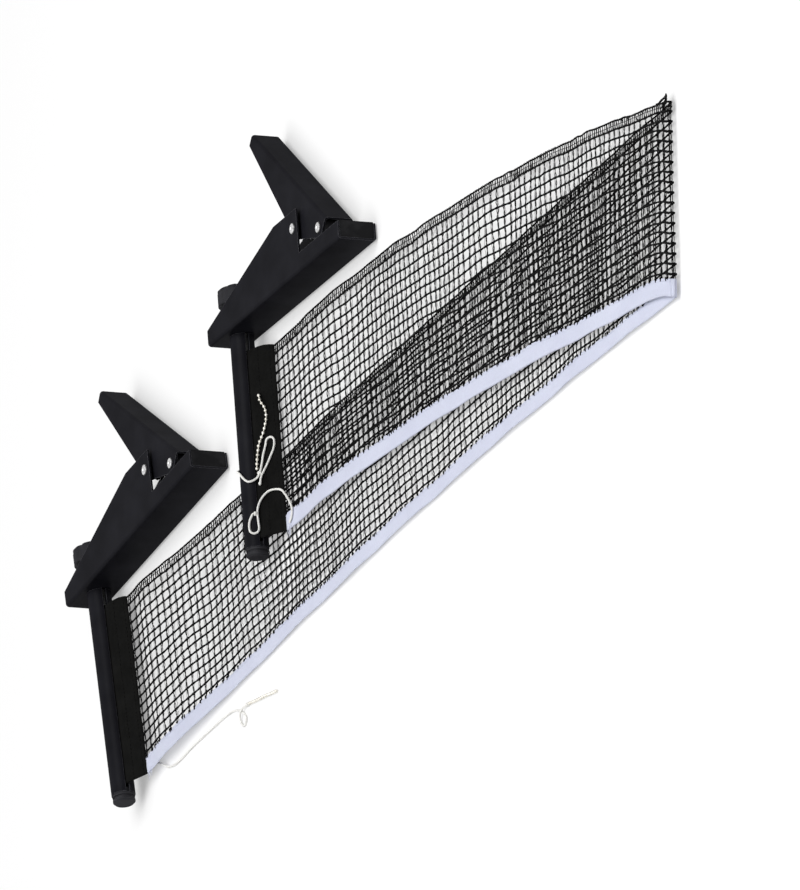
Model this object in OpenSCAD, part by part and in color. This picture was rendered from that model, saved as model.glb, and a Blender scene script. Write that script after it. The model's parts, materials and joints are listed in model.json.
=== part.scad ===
// Table tennis net set: two spring clips with posts, joined by a folded net.
// The set lies flat, stored: X and Y run along the surface and Z is up.
// Each clip is drawn in its own frame: the post's axis meets the bracket's outer face at the
// origin, x runs along the bracket to the jaw, y to the lever's side, and the post goes to -y.

/* [Bracket] */
// Width of the bracket's channel
bracket_w = 32; // [28:0.5:40]
// Thickness of the pressed steel sheet
sheet_t = 1.6; // [1.2:0.1:2]
// Outer radius of the channel's bends
bend_r = 2.6; // [2.2:0.1:4]
// Length behind the post's axis
heel_l = 29; // [24:1:40]
// From the post's axis to the notch that stops the table's edge
notch_x = 152.5; // [150:0.5:165]
// Length of the jaw beyond the notch
jaw_l = 76; // [66:1:90]
// Height of the side walls at the heel
heel_h = 13; // [8:0.5:16]
// Height of the side walls at the pivot
peak_h = 51; // [48:0.5:60]
// Length of the level top of the side walls
peak_l = 44; // [30:1:60]
// Height of the side walls along the jaw
jaw_h = 14.5; // [12:0.5:16]

/* [Lever] */
// Width of the lever's channel
lever_w = 24; // [18:0.5:26]
// Handle length behind the pivot
handle_l = 122; // [100:1:130]
// Depth of the lever's walls at the handle's end
handle_end_h = 9.5; // [7:0.5:14]
// From the pivot to the lever's outer plate
pivot_depth = 29; // [26:0.5:32]
// Angle between the handle and the bracket's base
lever_angle = 41.6; // [38:0.1:45]
// Pivot's distance back from the notch
pivot_back = 8; // [8:0.5:14]
// Pivot's height above the bracket's outer face
pivot_y = 37; // [36:0.5:39]
// Radius of the wall round the pivot and round the roller pin
lug_r = 8; // [7:0.5:8]
// From the pivot to the roller pin
nose_l = 41; // [38:0.5:44]

/* [Pins, roller and spring] */
// Radius of the two rivets
pin_r = 3; // [2.5:0.1:3.5]
// Radius of a rivet's head
head_r = 4.6; // [4:0.1:5.5]
// Height of a rivet's head
head_h = 1.4; // [1:0.1:2]
// Radial clearance of what turns on a pin
run_gap = 0.06; // [0.03:0.01:0.09]
// Radius of the jaw roller
roller_r = 8.6; // [8:0.1:8.8]
// Side gap of the roller in the lever
roller_side_gap = 0.6; // [0.4:0.1:1.2]
// Wire thickness of the lever spring
spring_wire = 2.2; // [1.6:0.1:2.4]
// Radius of the spring's coil at the wire's centre
spring_r = 6.2; // [5.9:0.1:6.6]
// Rise of the spring in each curl
spring_pitch = 2.9; // [2.8:0.05:3.2]
// Whole curls of the spring
spring_curls = 4; // [3:1:4]
// Reach of the spring's legs from the pivot
spring_leg = 56; // [40:1:64]

/* [Jaw pad] */
// Length of the ribbed pad
pad_l = 51.5; // [40:0.5:58]
// Top of the pad's ribs above the bracket's outer face
pad_top = 15.4; // [14:0.1:15.4]
// Distance from rib to rib
rib_pitch = 4.4; // [3.5:0.1:6]
// Depth of the grooves
rib_depth = 1.6; // [1:0.1:2.5]
// Width of the grooves
groove_w = 2; // [1.5:0.1:2.5]
// Gap between the pad and the bracket's walls
pad_gap = 0.2; // [0.1:0.05:0.5]
// From the jaw's end to the pad's
pad_end = 0.5; // [0.2:0.1:2]

/* [Post] */
// Outer diameter of the post
post_d = 19; // [16:0.5:22]
// Wall of the post
post_wall = 1.5; // [1.2:0.1:2]
// Length of the post below the hem
post_tail = 13.5; // [12:0.5:20]
// Width of the slot that the hem slides in
slot_w = 3; // [2.6:0.1:4]
// Gap between the post and the bracket
post_gap = 0.3; // [0.2:0.1:0.6]
// Length of the cap's head beyond the tube
cap_l = 7; // [5.5:0.5:7.5]
// Length of the cap's plug inside the tube
cap_plug_l = 4; // [3:0.5:4.5]
// Depth of the groove round the cap
cap_groove = 1.4; // [0.8:0.1:2]
// Radius of the threaded stud
stud_r = 4; // [3:0.5:5]
// Length of the plug in the post's foot
plug_l = 14; // [10:1:16]

/* [Knob] */
// Diameter of the hand knob
knob_d = 34; // [30:1:34]
// Height of the knob's rim
knob_rim_h = 12; // [9:0.5:14]
// Rise of the knob's dome
knob_dome_h = 5; // [3:0.5:7]
// Number of flutes round the knob
knob_flutes = 8; // [6:1:10]
// Radius of a flute
flute_r = 4; // [3:0.5:5]
// Height of the knob's underside above the bracket's face
knob_y = 24.5; // [24:0.5:28]
// Outer radius of the spacer under the knob
spacer_r = 9; // [7:0.5:11]
// Gap between the knob and the spacer
knob_gap = 0.3; // [0.2:0.1:0.6]

/* [Net] */
// Height of the net
net_h = 152.5; // [145:0.5:155]
// Length of the net between the posts
net_l = 1830; // [1800:5:1860]
// How much longer the far half is than the near half
lead_l = 293; // [275:1:310]
// Reach of each fabric hem beyond its post
hem_w = 18; // [14:0.5:26]
// Thickness of the hem's fabric
hem_t = 1.8; // [1.2:0.1:2]
// Radius of the bead in the post
bead_r = 3.6; // [3:0.1:5]
// Gap between the bracket's face and the hem
hem_gap = 16; // [12:0.5:18]
// Thickness of the net
net_t = 1.2; // [0.8:0.1:1.6]
// Width of the white top tape
tape_w = 14; // [12:0.5:16]
// Width of the bottom selvedge
selvedge_w = 8; // [5:0.5:9.5]
// How far the far half's selvedge bows towards the clips
selvedge_bow_a = 3; // [0:0.5:8]
// How far the far half's tape bows towards the clips
tape_bow_a = 16; // [6:0.5:18]
// How far the near half's selvedge bows towards the clips
selvedge_bow_b = 22; // [4:0.5:24]
// How far the near half's tape bows towards the clips
tape_bow_b = 15; // [6:0.5:18]
// Gap between the two layers of the folded net
layer_gap = 2; // [1.6:0.1:4]
// Width of the cords between the net's gaps
mesh_bar = 2; // [1.2:0.1:3]
// Thickness of the folded edge
fold_w = 2.4; // [2:0.1:5]

/* [Cords and chains] */
// Diameter of the white cord
cord_d = 1.8; // [1.4:0.1:2.2]
// Diameter of a chain's balls
ball_d = 2.8; // [2.4:0.1:3.2]
// Distance from ball to ball
ball_pitch = 3.6; // [3.4:0.1:4.2]

/* [Layout] */
// Direction of the far clip's bracket
turn_a = 25.4; // [20:0.2:30]
// Direction of the near clip's bracket
turn_b = 19; // [14:0.2:24]
// Direction of the far half of the net
lay_a = 21.13; // [18:0.1:24]
// Direction of the near half of the net
lay_b = 14.05; // [12:0.1:18]
// Direction of the fold's edge
fold_turn = -77.4; // [-84:0.1:-72]

/* [Hidden] */
$fn = 32;

// Colours of the real finishes.
black_paint = [0.14, 0.14, 0.16];
black_plastic = [0.20, 0.20, 0.23];
black_rubber = [0.10, 0.10, 0.11];
black_fabric = [0.08, 0.08, 0.08];
bright_steel = [0.75, 0.75, 0.78];
white_fabric = [0.84, 0.85, 0.94];
white_cord = [0.92, 0.92, 0.88];

cut = 1;                              // how far a cutting shape runs past a face
tip_x = notch_x + jaw_l;              // jaw's end
bracket_l = heel_l + tip_x;
rest_z = head_h;                      // the rivet heads lift the channels off the surface
mid_z = rest_z + bracket_w/2;         // height of each post's axis
post_r = post_d/2;
bore_r = post_r - post_wall;
post_l = hem_gap + net_h + post_tail; // from the bracket's face to the cap's end
fit_gap = 0.2;                        // round the cap's plug
pivot = [notch_x - pivot_back, pivot_y];

// Lever, in its own frame: the pivot is the origin, x runs to the nose and y to the outer plate.
nose_y = 16.7;                        // roller pin's place, from the pivot towards the plate
nose = [sqrt(nose_l*nose_l - nose_y*nose_y), nose_y];
lever_z = mid_z - lever_w/2;

// Net layers: the far half lies on the surface and the near half on top of it.
layer_z = [0, net_t + layer_gap];
hem_x = post_r + hem_w;
half_a_l = (net_l - 2*hem_w + lead_l)/2;
half_b_l = half_a_l - lead_l;

function turned(angle, p) = [cos(angle)*p[0] - sin(angle)*p[1], sin(angle)*p[0] + cos(angle)*p[1]];

// Places of the clips and the fold, worked out along the net from the far clip.
hem_mid = [hem_x, -hem_gap - net_h/2];
at_a = [-507.2, -106.6];
fold_mid = at_a + turned(turn_a, hem_mid) + half_a_l*[cos(lay_a), sin(lay_a)];
at_b = fold_mid - half_b_l*[cos(lay_b), sin(lay_b)] - turned(turn_b, hem_mid);
fold_dir = [cos(fold_turn), sin(fold_turn)];
fold_out = [-fold_dir[1], fold_dir[0]];

module at_clip(side) {
    translate(side == "a" ? at_a : at_b) rotate([0, 0, side == "a" ? turn_a : turn_b]) children();
}

module in_lever_frame() {
    translate([pivot[0], pivot[1], 0]) rotate([0, 0, -lever_angle]) children();
}

// Turns a shape drawn along +z so that it runs along +y, and back.
module along_y() { rotate([-90, 0, 0]) children(); }
module along_minus_y() { rotate([90, 0, 0]) children(); }

// Cross-section of a bent channel: its base lies on x = 0 and it opens towards +x.
module channel_section(width, depth) {
    difference() {
        union() {
            translate([bend_r, 0]) square([depth - bend_r, width]);
            translate([0, bend_r]) square([depth, width - 2*bend_r]);
            for (y = [bend_r, width - bend_r])
                translate([bend_r, y]) circle(r = bend_r);
        }
        translate([sheet_t, sheet_t]) square([depth, width - 2*sheet_t]);
    }
}

// ---- Bracket ----

module bracket_side() {
    polygon([
        [-heel_l, 0], [tip_x, 0], [tip_x, jaw_h], [notch_x, jaw_h],
        [notch_x, peak_h], [notch_x - peak_l, peak_h], [-heel_l, heel_h]
    ]);
}

module bracket() {
    color(black_paint) difference() {
        intersection() {
            translate([0, 0, rest_z]) linear_extrude(bracket_w) bracket_side();
            translate([-heel_l - cut, 0, rest_z]) rotate([90, 0, 90])
                linear_extrude(bracket_l + 2*cut) channel_section(bracket_w, peak_h + cut);
        }
        translate([pivot[0], pivot[1], 0]) cylinder(r = pin_r + run_gap, h = 2*mid_z);
        translate([0, -cut, mid_z]) along_y() cylinder(r = stud_r + run_gap, h = sheet_t + 2*cut);
    }
}

module jaw_pad() {
    inner_w = bracket_w - 2*sheet_t - 2*pad_gap;
    ribs = floor(pad_l/rib_pitch);
    color(black_rubber) translate([tip_x - pad_end - pad_l, 0, mid_z - inner_w/2]) difference() {
        translate([0, sheet_t, 0]) cube([pad_l, pad_top - sheet_t, inner_w]);
        for (i = [1 : ribs - 1])
            translate([i*pad_l/ribs - groove_w/2, pad_top - rib_depth, -cut])
                cube([groove_w, rib_depth + cut, inner_w + 2*cut]);
    }
}

// A rivet with a tapered head at each side of what it grips.
module rivet(at, grip_w) {
    head_top_r = head_r - 1;
    translate([at[0], at[1], mid_z]) {
        translate([0, 0, -(grip_w + head_h)/2]) cylinder(r = pin_r, h = grip_w + head_h);
        for (side = [0, 1]) mirror([0, 0, side])
            translate([0, 0, grip_w/2]) cylinder(r1 = head_r, r2 = head_top_r, h = head_h);
    }
}

module pivot_pin() { color(bright_steel) rivet(pivot, bracket_w); }

// ---- Lever ----

// Outline of the lever's side wall, with round lugs at the pivot and at the nose.
module lever_side() {
    lug_turn = atan2(nose[1], nose[0]);
    wall_turn = atan2(pivot_depth - handle_end_h + lug_r, handle_l);
    polygon([
        [-handle_l, pivot_depth], [-handle_l, pivot_depth - handle_end_h],
        lug_r*[-sin(wall_turn), -cos(wall_turn)], lug_r*[sin(lug_turn), -cos(lug_turn)],
        nose + lug_r*[sin(lug_turn), -cos(lug_turn)], nose + [lug_r, 0],
        [nose[0] + lug_r, pivot_depth]
    ]);
    circle(r = lug_r);
    translate(nose) circle(r = lug_r);
}

module lever() {
    color(black_paint) in_lever_frame() difference() {
        intersection() {
            translate([0, 0, lever_z]) linear_extrude(lever_w) lever_side();
            translate([-handle_l - cut, pivot_depth, lever_z]) rotate([90, 0, 90])
                linear_extrude(handle_l + nose[0] + lug_r + 2*cut)
                    mirror([1, 0]) channel_section(lever_w, pivot_depth + lug_r + cut);
        }
        cylinder(r = pin_r + run_gap, h = 2*mid_z);
        translate([nose[0], nose[1], 0]) cylinder(r = pin_r + run_gap, h = 2*mid_z);
    }
}

module roller_pin() {
    color(bright_steel) in_lever_frame() rivet(nose, lever_w);
}

module jaw_roller() {
    roller_w = lever_w - 2*sheet_t - 2*roller_side_gap;
    color(black_rubber) in_lever_frame() translate([nose[0], nose[1], mid_z - roller_w/2])
        difference() {
            cylinder(r = roller_r, h = roller_w);
            translate([0, 0, -cut]) cylinder(r = pin_r + run_gap, h = roller_w + 2*cut);
        }
}

// ---- Spring ----

// Legs: the first rests on the bracket's base, the second under the lever's plate.
leg_gap = 0.3;                        // between a leg and the sheet that it bears on
foot_drop = pivot_y - sheet_t - spring_wire/2 - leg_gap;
spring_foot = [-sqrt(spring_leg*spring_leg - foot_drop*foot_drop), -foot_drop];
plate_rise = pivot_depth - sheet_t - spring_wire/2 - leg_gap;
spring_hand = turned(-lever_angle, [-sqrt(spring_leg*spring_leg - plate_rise*plate_rise), plate_rise]);
foot_angle = atan2(spring_foot[1], spring_foot[0]) + acos(spring_r/spring_leg);
hand_angle = atan2(spring_hand[1], spring_hand[0]) - acos(spring_r/spring_leg);
spring_sweep = 360*spring_curls + ((hand_angle - foot_angle + 720) % 360);
spring_steps = round(spring_sweep/45);
spring_rise = spring_pitch*spring_sweep/360;

function coil_point(i) = let (a = foot_angle + spring_sweep*i/spring_steps)
    [spring_r*cos(a), spring_r*sin(a), -spring_rise/2 + spring_rise*i/spring_steps];
spring_path = concat(
    [[spring_foot[0], spring_foot[1], -spring_rise/2]],
    [for (i = [0 : spring_steps]) coil_point(i)],
    [[spring_hand[0], spring_hand[1], spring_rise/2]]
);
// Least gap from one curl to the next, measured on the path's points.
spring_gap = min([for (i = [1 : spring_steps - 7]) for (j = [i + 6 : min(i + 12, spring_steps)])
    norm(spring_path[i] - spring_path[j])]) - spring_wire;
echo(spring_gap = spring_gap);

module lever_spring() {
    color(bright_steel) translate([pivot[0], pivot[1], mid_z]) tube(spring_path, spring_wire, 6);
}

// ---- Tubes along a path ----

function unit(v) = v/norm(v);
function path_dir(path, i) = unit(
    i == 0 ? path[1] - path[0]
    : i == len(path) - 1 ? path[i] - path[i - 1]
    : unit(path[i + 1] - path[i]) + unit(path[i] - path[i - 1]));
// Carries the first ring's side direction along the path, so that the tube doesn't twist.
function carried(path, i, side) = let (d = path_dir(path, i)) unit(side - (side*d)*d);
function ring_sides(path, i, side) = i == len(path) ? []
    : let (s = carried(path, i, side)) concat([s], ring_sides(path, i + 1, s));
function at_ring(diameter, i) = is_list(diameter) ? diameter[i] : diameter;
function ring(path, i, side, r, sides) = let (d = path_dir(path, i), up = cross(d, side))
    [for (k = [0 : sides - 1]) path[i] + r*(cos(360*k/sides)*side + sin(360*k/sides)*up)];

module tube(path, diameter, sides) {
    first = abs(path_dir(path, 0)[2]) < 0.9 ? [0, 0, 1] : [1, 0, 0];
    frames = ring_sides(path, 0, first);
    n = len(path);
    points = [for (i = [0 : n - 1]) each ring(path, i, frames[i], at_ring(diameter, i)/2, sides)];
    walls = [for (i = [0 : n - 2]) for (k = [0 : sides - 1]) let (m = (k + 1) % sides)
        each [[i*sides + k, (i + 1)*sides + k, (i + 1)*sides + m],
              [i*sides + k, (i + 1)*sides + m, i*sides + m]]];
    ends = [[for (k = [0 : sides - 1]) k],
            [for (k = [sides - 1 : -1 : 0]) (n - 1)*sides + k]];
    polyhedron(points, concat(walls, ends), convexity = 10);
}

// ---- Post ----

module post() {
    color(black_paint) translate([0, -post_gap, mid_z]) along_minus_y()
        linear_extrude(post_l - cap_l - post_gap) difference() {
            circle(r = post_r);
            circle(r = bore_r);
            translate([0, -slot_w/2]) square([post_r + cut, slot_w]);
        }
}

module post_cap() {
    cap_r = post_r - 0.6;
    groove_r = cap_r - cap_groove;
    color(black_plastic) translate([0, -(post_l - cap_l), mid_z]) along_minus_y() {
        rotate_extrude() polygon([
            [0, 0], [cap_r, 0], [cap_r, 0.28*cap_l], [groove_r, 0.28*cap_l],
            [groove_r, 0.5*cap_l], [cap_r, 0.6*cap_l],
            [cap_r, 0.8*cap_l], [groove_r, cap_l], [0, cap_l]
        ]);
        translate([0, 0, -cap_plug_l]) cylinder(r = bore_r - fit_gap, h = cap_plug_l);
    }
}

stud_gap = 1;                         // above the stud's end inside the knob
stud_l = post_gap + knob_y + knob_rim_h - stud_gap;

// The plug is pressed into the post, and the stud stands on it.
module post_stud() {
    color(bright_steel) translate([0, -post_gap, mid_z]) {
        along_minus_y() cylinder(r = bore_r - run_gap, h = plug_l);
        along_y() cylinder(r = stud_r, h = stud_l);
    }
}

module knob_spacer() {
    color(black_plastic) translate([0, sheet_t, mid_z]) along_y() difference() {
        cylinder(r = spacer_r, h = knob_y - knob_gap - sheet_t);
        translate([0, 0, -cut]) cylinder(r = stud_r + run_gap, h = knob_y + 2*cut);
    }
}

// The dome's radius shrinks along a quarter circle from the rim to the middle.
module knob() {
    knob_r = knob_d/2;
    chamfer = 1;
    dome_steps = 6;
    color(black_plastic) translate([0, knob_y, mid_z]) along_y() difference() {
        rotate_extrude() polygon(concat(
            [[0, 0], [knob_r - chamfer, 0], [knob_r, chamfer], [knob_r, knob_rim_h]],
            [for (i = [1 : dome_steps]) let (a = 90*i/dome_steps)
                [knob_r*cos(a) + knob_r/4*(1 - cos(a) - sin(a)), knob_rim_h + knob_dome_h*sin(a)]]
        ));
        for (i = [0 : knob_flutes - 1]) rotate([0, 0, 360*(i + 0.5)/knob_flutes])
            translate([knob_r + flute_r/2, 0, -cut])
                cylinder(r = flute_r, h = knob_rim_h + knob_dome_h + 2*cut);
        translate([0, 0, -cut]) cylinder(r = stud_r + run_gap, h = knob_rim_h + cut + run_gap);
    }
}

// ---- Net ----

// Corners of a half: hem end bottom and top, then fold bottom and top, in plan.
// The net's own bottom edge, the selvedge, is the one nearest the brackets.
function hem_corner(side, y) = side == "a"
    ? at_a + turned(turn_a, [hem_x, y]) : at_b + turned(turn_b, [hem_x, y]);
// How far a half bows at mid-length, from its selvedge (t = 0) to its tape (t = 1).
function bow(side, t) = side == "a"
    ? selvedge_bow_a + t*(tape_bow_a - selvedge_bow_a)
    : selvedge_bow_b + t*(tape_bow_b - selvedge_bow_b);
function bow_dir(side) = let (lay = side == "a" ? lay_a : lay_b) [-sin(lay), cos(lay)];
// A point of a half: s runs from the hem to the fold, t from the selvedge to the tape.
function net_point(side, s, t) =
    (1 - s)*hem_corner(side, -hem_gap - t*net_h)
    + s*(fold_mid + (t - 0.5)*net_h*fold_dir)
    + 4*s*(1 - s)*bow(side, t)*bow_dir(side);

mesh_t0 = selvedge_w/net_h;
mesh_t1 = 1 - tape_w/net_h;
mesh_rows = 7;
mesh_columns = [20, 14];
function columns(side) = side == "a" ? mesh_columns[0] : mesh_columns[1];

// A whole strip of a half, from its hem to its fold, in straight steps of one mesh column.
module net_band(side, t0, t1) {
    n = columns(side);
    polygon(concat([for (i = [0 : n]) net_point(side, i/n, t0)],
                   [for (i = [n : -1 : 0]) net_point(side, i/n, t1)]));
}

module net_layer(side) {
    translate([0, 0, side == "a" ? layer_z[0] : layer_z[1]]) linear_extrude(net_t) children();
}

module net_mesh(side) {
    bar_s = mesh_bar/2/(side == "a" ? half_a_l : half_b_l);
    bar_t = mesh_bar/2/net_h;
    ds = 1/columns(side);
    dt = (mesh_t1 - mesh_t0)/mesh_rows;
    color(black_fabric) net_layer(side) difference() {
        net_band(side, mesh_t0, mesh_t1);
        for (i = [0 : columns(side) - 1]) for (j = [0 : mesh_rows - 1])
            let (s0 = i*ds + bar_s, s1 = (i + 1)*ds - bar_s,
                 t0 = mesh_t0 + j*dt + bar_t, t1 = mesh_t0 + (j + 1)*dt - bar_t)
            polygon([net_point(side, s0, t0), net_point(side, s1, t0),
                     net_point(side, s1, t1), net_point(side, s0, t1)]);
    }
}

module selvedge(side) { color(black_fabric) net_layer(side) net_band(side, 0, mesh_t0); }
module tape(side) { color(white_fabric) net_layer(side) net_band(side, mesh_t1, 1); }

module net_fold() {
    top = net_point("a", 1, 0);
    low = net_point("a", 1, 1);
    color(black_fabric) linear_extrude(layer_z[1] + net_t)
        polygon([top, low, low + fold_w*fold_out, top + fold_w*fold_out]);
}

// Hem: a bead in the post, a tab through its slot, and a band that drops to the net's layer.
module net_hem(side) {
    low = side == "a" ? layer_z[0] : layer_z[1];
    tab_l = post_r + 0.5;
    color(black_fabric) translate([0, -hem_gap, 0]) along_minus_y() linear_extrude(net_h) {
        translate([0, mid_z]) circle(r = bead_r);
        translate([0, mid_z - hem_t/2]) square([tab_l, hem_t]);
        polygon([[tab_l, mid_z - hem_t/2], [hem_x, low],
                 [hem_x, low + net_t], [tab_l, mid_z + hem_t/2]]);
    }
}

// ---- Cords and chains ----

// Points of a route in a clip's frame, with their height above the surface.
function laid(side, points) = [for (p = points)
    let (q = side == "a" ? at_a + turned(turn_a, [p[0], p[1]]) : at_b + turned(turn_b, [p[0], p[1]]))
    [q[0], q[1], p[2]]];

// From the near tape's end in an arch back to a small eye on the post.
tension_route_b = [
    [38, -165, 5.5], [42, -162, 5.6], [44.3, -157.6, 5.7], [43.5, -152.5, 5.7],
    [39.3, -146.5, 5.7], [33.6, -139.8, 5.9], [29.5, -135.6, 6.5], [25, -133.4, 8.4],
    [19.5, -133.2, 12.6], [14.8, -136.9, 16.3], [11.8, -142.4, 18.8], [10.6, -148.5, 19.8],
    [10.5, -154, 19.9], [10.4, -159, 20], [9.95, -163, 21.4], [8.9, -165, 23.4],
    [7.7, -163.4, 24.85], [7.4, -159, 25.1], [7.7, -154.5, 24.85], [8.7, -150.6, 23.7],
    [9.4, -148.9, 22.8]
];
// Round the back of the post, over its front, through the knot to a long loop and a short tail.
post_route_b = [
    [3, -101, 6.6], [-2, -100.5, 6.7], [-7, -101.5, 9], [-10.4, -103.5, 14], [-10.5, -106, 19.5],
    [-7.7, -109, 25.2], [-3, -111.5, 28], [0, -113.5, 28.3], [3.1, -116.7, 28],
    [5.8, -120.3, 26.7], [8.3, -122.8, 24.4], [11.2, -121.8, 20.4], [13.7, -118.2, 17.4],
    [15.7, -110.8, 15.6], [17.2, -103.3, 14.4], [18.8, -96.3, 13.1], [20.2, -91.8, 12],
    [22.6, -89.8, 10.1], [25, -91.4, 8.3], [25.6, -95.2, 7.8], [24.2, -101, 8.9],
    [21.4, -107.3, 11.1], [18.8, -112.8, 13.2], [16.4, -117.2, 15.2], [14.7, -121.4, 16.6],
    [14, -126.2, 17.2]
];
chain_route_b = [
    [12.6, -114.5, 18.7], [13, -109, 18.3], [13.6, -104, 17.8], [14.4, -99, 17.2],
    [15.2, -94, 16.5], [16.8, -90, 15.2], [18.6, -86, 13.9], [20.5, -79.3, 12.3],
    [21.6, -72.7, 11.4], [20.9, -65.5, 12], [18.1, -58.8, 14.2], [17.4, -53.1, 14.8]
];
// From the far tape's end along the surface to the far chain.
tension_route_a = [
    [37, -163, 2.3], [42, -165.5, 2.3], [48, -170, 2.3], [55, -174.5, 1.3], [66, -177.5, 1],
    [80, -178.5, 1], [94, -178.5, 1], [108, -179, 1], [122, -180, 1], [136, -181, 1],
    [150, -182, 1], [164, -183, 1], [176, -184.6, 1], [184, -186.5, 1], [190, -188.8, 1],
    [196, -192, 1], [201, -196.5, 1], [204, -201, 1], [202.5, -205, 1], [198.5, -206, 1],
    [195.3, -203, 1.2], [195.2, -199.3, 1.9], [197.3, -196.2, 2.8], [200, -194.2, 3.05],
    [203.5, -192.9, 2.5], [207.5, -192.8, 1.6], [211, -193.3, 1.1]
];
chain_route_a = [
    [213.2, -193.8, 1.45], [219, -195.2, 1.45], [225, -196.9, 1.45], [231, -198.4, 1.45],
    [237, -199.8, 1.45], [243, -201.2, 1.45], [249, -202.8, 1.45], [255, -204.5, 1.45],
    [261, -206, 1.45], [266, -207.3, 1.45]
];

// Adds points between the route's own, so that rings lie close together on the bends.
function eased(p, i, u) = let (
    a = p[max(i - 1, 0)], b = p[i], c = p[i + 1], d = p[min(i + 2, len(p) - 1)])
    0.5*(2*b + (c - a)*u + (2*a - 5*b + 4*c - d)*u*u + (3*b - a - 3*c + d)*u*u*u);
function smoothed(p, steps) = concat(
    [for (i = [0 : len(p) - 2]) for (k = [0 : steps - 1]) eased(p, i, k/steps)], [p[len(p) - 1]]);

module cord(route) { color(white_cord) tube(smoothed(route, 2), cord_d, 8); }

// Points at equal steps along a route, so that every ball has its share of rings.
function run_lengths(p, i = 0, sum = 0) = i == len(p) - 1 ? [sum]
    : concat([sum], run_lengths(p, i + 1, sum + norm(p[i + 1] - p[i])));
function point_at(p, runs, d) = let (
    i = min([for (k = [1 : len(runs) - 1]) if (runs[k] >= d - 0.0001) k]),
    u = (d - runs[i - 1])/(runs[i] - runs[i - 1]))
    p[i - 1] + u*(p[i] - p[i - 1]);

// A ball chain is one tube that swells to each ball and narrows to the link between two balls.
module ball_chain(route) {
    ball_r = ball_d/2;
    link_r = 0.4*ball_r;
    at = [-0.9, 0, 0.9];              // places of a ball's rings, in ball radii
    path = smoothed(route, 4);
    runs = run_lengths(path);
    balls = floor((runs[len(runs) - 1] - ball_d)/ball_pitch);
    stops = [for (i = [0 : balls]) for (a = at) ball_r + i*ball_pitch + a*ball_r];
    radii = [for (i = [0 : balls]) for (a = at) max(link_r, ball_r*sqrt(1 - a*a))];
    color(bright_steel) tube([for (d = stops) point_at(path, runs, d)], 2*radii, 6);
}

// ---- The set ----

at_clip("a") bracket();  // bracket_a
at_clip("a") jaw_pad();  // jaw_pad_a
at_clip("a") lever();  // lever_a
at_clip("a") pivot_pin();  // pivot_pin_a
at_clip("a") lever_spring();  // lever_spring_a
at_clip("a") roller_pin();  // roller_pin_a
at_clip("a") jaw_roller();  // jaw_roller_a
at_clip("a") post();  // post_a
at_clip("a") post_cap();  // post_cap_a
at_clip("a") post_stud();  // post_stud_a
at_clip("a") knob_spacer();  // knob_spacer_a
at_clip("a") knob();  // knob_a
at_clip("a") net_hem("a");  // net_hem_a
at_clip("b") bracket();  // bracket_b
at_clip("b") jaw_pad();  // jaw_pad_b
at_clip("b") lever();  // lever_b
at_clip("b") pivot_pin();  // pivot_pin_b
at_clip("b") lever_spring();  // lever_spring_b
at_clip("b") roller_pin();  // roller_pin_b
at_clip("b") jaw_roller();  // jaw_roller_b
at_clip("b") post();  // post_b
at_clip("b") post_cap();  // post_cap_b
at_clip("b") post_stud();  // post_stud_b
at_clip("b") knob_spacer();  // knob_spacer_b
at_clip("b") knob();  // knob_b
at_clip("b") net_hem("b");  // net_hem_b
net_mesh("a");  // net_mesh_a
net_mesh("b");  // net_mesh_b
net_fold();
selvedge("a");  // selvedge_a
selvedge("b");  // selvedge_b
tape("a");  // tape_a
tape("b");  // tape_b
cord(laid("a", tension_route_a));  // tension_cord_a
ball_chain(laid("a", chain_route_a));  // ball_chain_a
cord(laid("b", tension_route_b));  // tension_cord_b
cord(laid("b", post_route_b));  // post_cord_b
ball_chain(laid("b", chain_route_b));  // ball_chain_b
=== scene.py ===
"""Looks of the table tennis net set: two spring clips with posts, joined by a folded net."""
import json
import math

import bpy
import numpy as np
from mathutils import Matrix, Vector


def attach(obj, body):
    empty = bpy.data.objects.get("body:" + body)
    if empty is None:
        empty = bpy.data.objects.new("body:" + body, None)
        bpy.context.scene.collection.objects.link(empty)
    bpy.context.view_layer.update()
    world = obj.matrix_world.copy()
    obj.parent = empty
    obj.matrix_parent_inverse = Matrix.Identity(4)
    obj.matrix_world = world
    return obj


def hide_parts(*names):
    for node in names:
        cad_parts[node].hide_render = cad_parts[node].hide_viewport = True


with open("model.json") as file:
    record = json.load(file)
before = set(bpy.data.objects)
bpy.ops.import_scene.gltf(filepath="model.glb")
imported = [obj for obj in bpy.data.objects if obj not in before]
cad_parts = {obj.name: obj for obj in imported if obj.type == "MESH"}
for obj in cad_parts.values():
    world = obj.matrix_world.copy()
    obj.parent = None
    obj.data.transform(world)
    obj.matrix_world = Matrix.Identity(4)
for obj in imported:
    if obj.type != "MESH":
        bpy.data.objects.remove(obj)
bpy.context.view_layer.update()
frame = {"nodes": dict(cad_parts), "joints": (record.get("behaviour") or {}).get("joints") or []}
nodes = frame["nodes"]
ROOT = "net_and_posts"

# ---------------- sizes, as the CAD has them

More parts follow.
